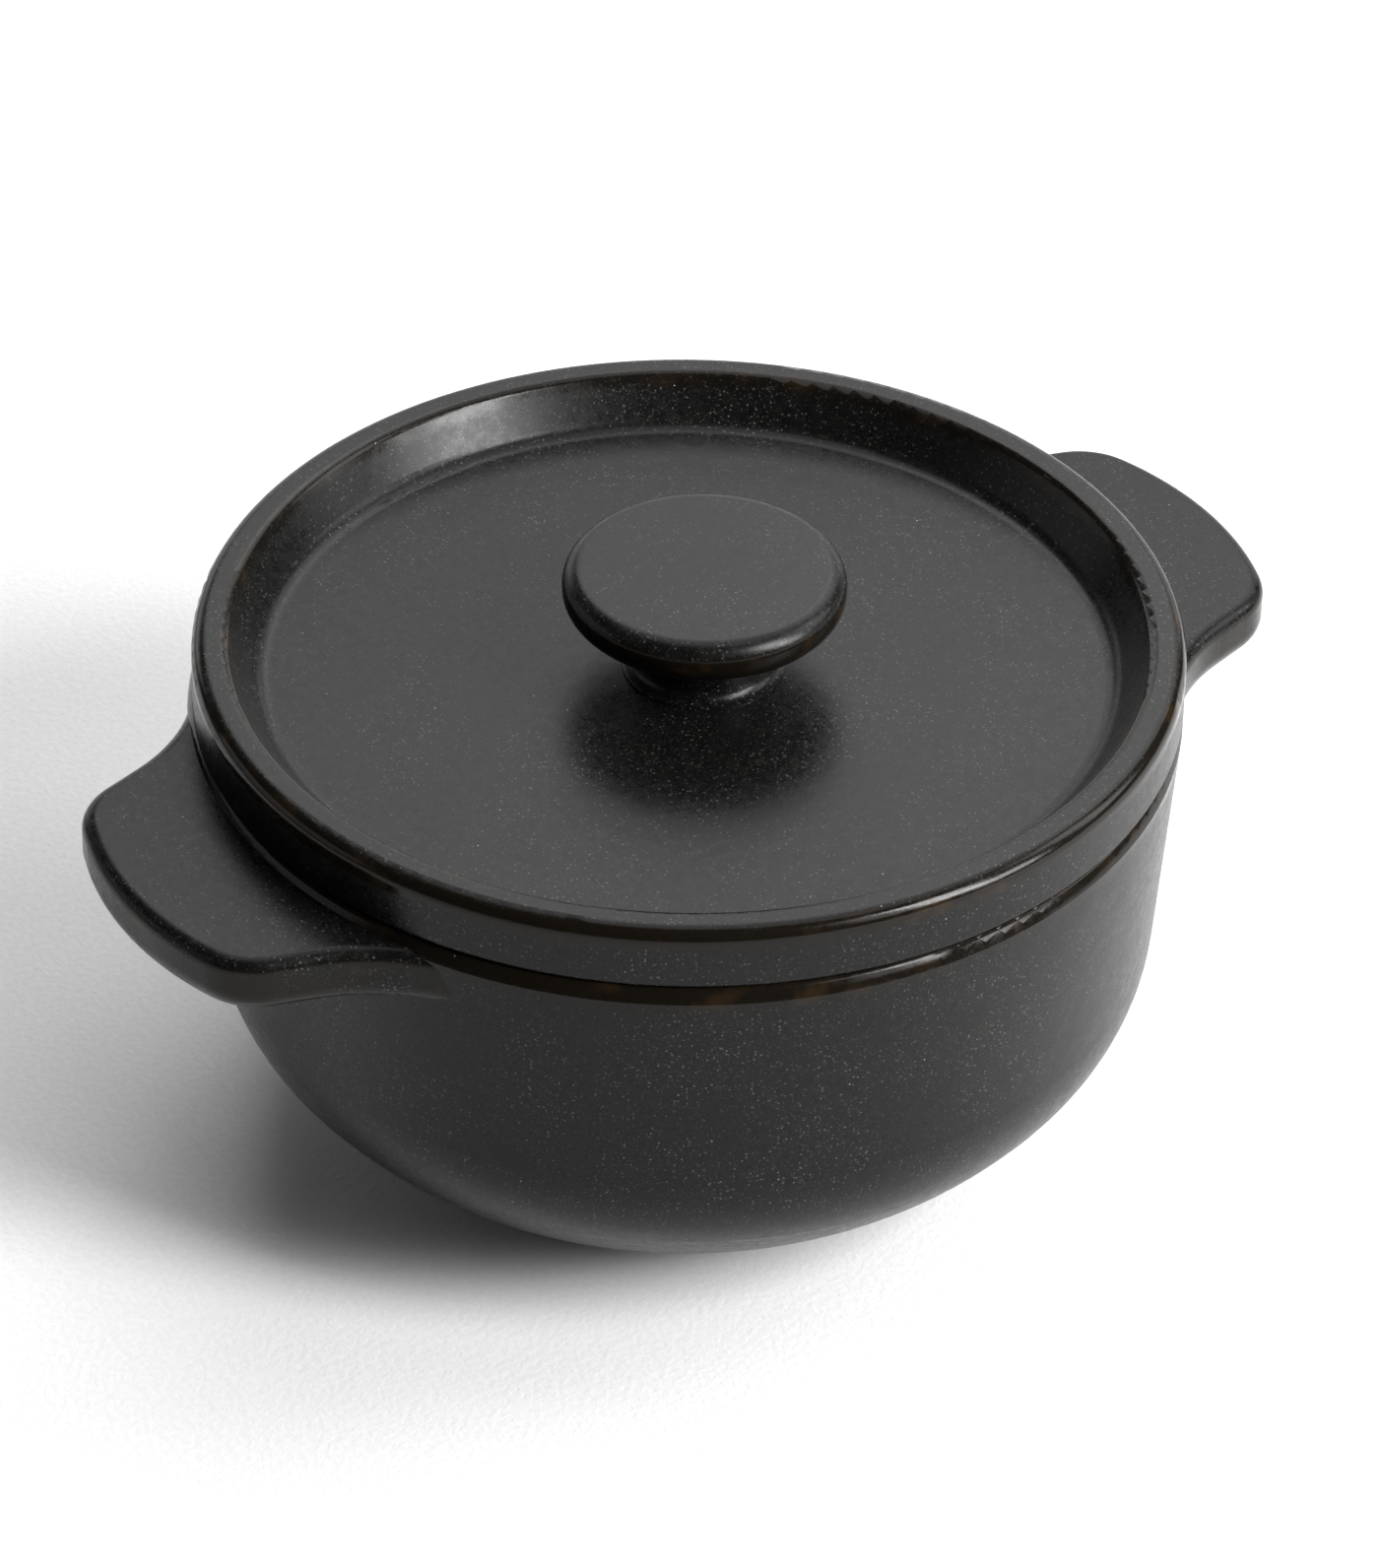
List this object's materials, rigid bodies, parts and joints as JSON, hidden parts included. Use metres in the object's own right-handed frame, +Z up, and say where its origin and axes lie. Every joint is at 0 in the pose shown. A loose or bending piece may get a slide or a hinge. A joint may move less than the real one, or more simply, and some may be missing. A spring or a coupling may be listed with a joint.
{
  "type": "sugar bowl",
  "caption": "Round stoneware sugar bowl with flat tab handles and a recessed lift-off lid carrying a disc knob.",
  "frame": {"origin": "centre of the bounding box at the table, on the bowl's axis under the foot ring", "axes": "+Z up along the bowl's axis, +X along the two handles, towards handle_right"},
  "size_m": [0.15, 0.1166, 0.0754],
  "materials": {
    "bowl_glaze": "satin-matt charcoal glaze with fine lighter mottling, breaking brown on the edges",
    "handle_glaze": "satin-matt charcoal glaze with fine lighter mottling, breaking brown on the edges",
    "lid_glaze": "satin-matt charcoal glaze with fine lighter mottling, breaking brown on the edges",
    "knob_glaze": "satin-matt charcoal glaze with fine lighter mottling, breaking brown on the edges"
  },
  "bodies": {
    "bowl": {"bowl": "bowl_glaze", "handle_left": "handle_glaze", "handle_right": "handle_glaze"},
    "lid": {"lid": "lid_glaze", "knob": "knob_glaze"}
  },
  "joints": [
    {"name": "lid_lift", "type": "slide", "parent": "bowl", "child": "lid", "axis": [0, 0, 1], "range_m": [0, 0.06]}
  ]
}
